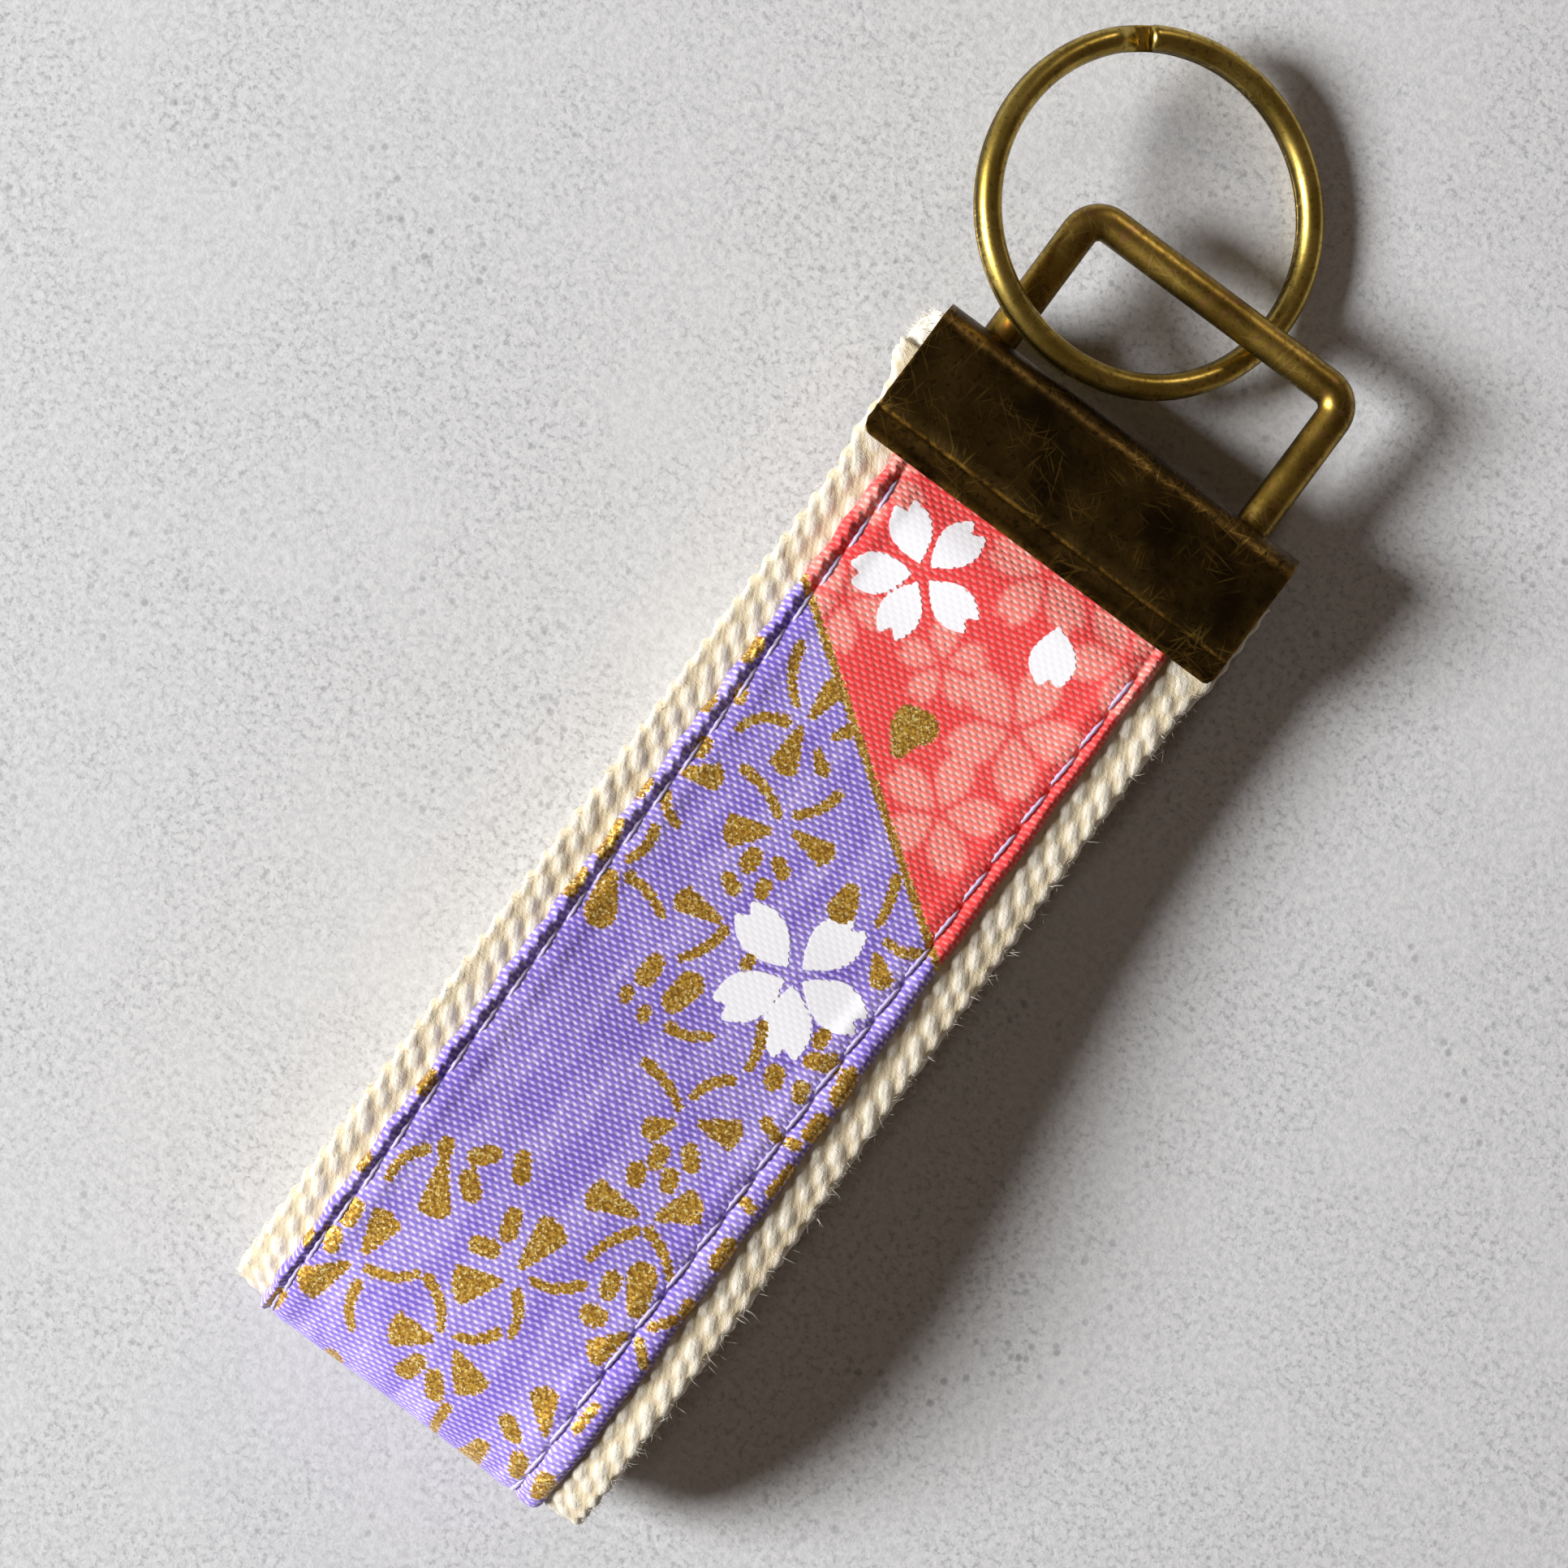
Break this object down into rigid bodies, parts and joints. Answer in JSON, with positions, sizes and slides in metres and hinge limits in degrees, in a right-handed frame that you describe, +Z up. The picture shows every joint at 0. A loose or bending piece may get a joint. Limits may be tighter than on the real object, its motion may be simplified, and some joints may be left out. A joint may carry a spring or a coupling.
{
  "type": "webbing key fob",
  "caption": "Short flat loop of thick webbing with a printed cotton strip sewn along it, crimped in a folded metal clamp with a wire bail and a split key ring.",
  "frame": {"origin": "on the underside of the strap, at the middle of its width and of the stretch that lies flat", "axes": "+Y along the strap towards the split ring, +X across the strap, +Z up, away from the surface it lies on"},
  "size_m": [0.0386, 0.1186, 0.0136],
  "materials": {
    "webbing": "chunky woven cotton, matt",
    "printed_cotton": "printed slub cotton with a metallic print",
    "thread": "twisted sewing thread, slight sheen",
    "clamp_metal": "dark antique bronze plating, scratched",
    "wire_metal": "worn antique brass plating, glossy"
  },
  "bodies": {
    "strap": {"webbing_loop": "webbing", "print_loop": "printed_cotton", "needle_thread_left": "thread", "needle_thread_right": "thread", "bobbin_thread_left": "thread", "bobbin_thread_right": "thread"},
    "clamp": {"clamp_shell": "clamp_metal", "webbing_end_front": "webbing", "webbing_end_back": "webbing", "print_end_front": "printed_cotton", "print_end_back": "printed_cotton"},
    "bail": {"bail_wire": "wire_metal"},
    "ring": {"split_ring": "wire_metal"}
  },
  "joints": [
    {"name": "strap_flex", "type": "hinge", "parent": "strap", "child": "clamp", "pos_m": [0, 0.0416, 0.0055], "axis": [1, 0, 0], "range_deg": [-60, 60], "stiffness_Nm_per_rad": 0.06},
    {"name": "bail_tilt", "type": "hinge", "parent": "clamp", "child": "bail", "pos_m": [0, 0.05325, 0.0055], "axis": [1, 0, 0], "range_deg": [-12, 12]},
    {"name": "ring_swing", "type": "hinge", "parent": "bail", "child": "ring", "pos_m": [0, 0.06755, 0.0055], "axis": [-1, 0, 0], "range_deg": [0, 135]}
  ]
}
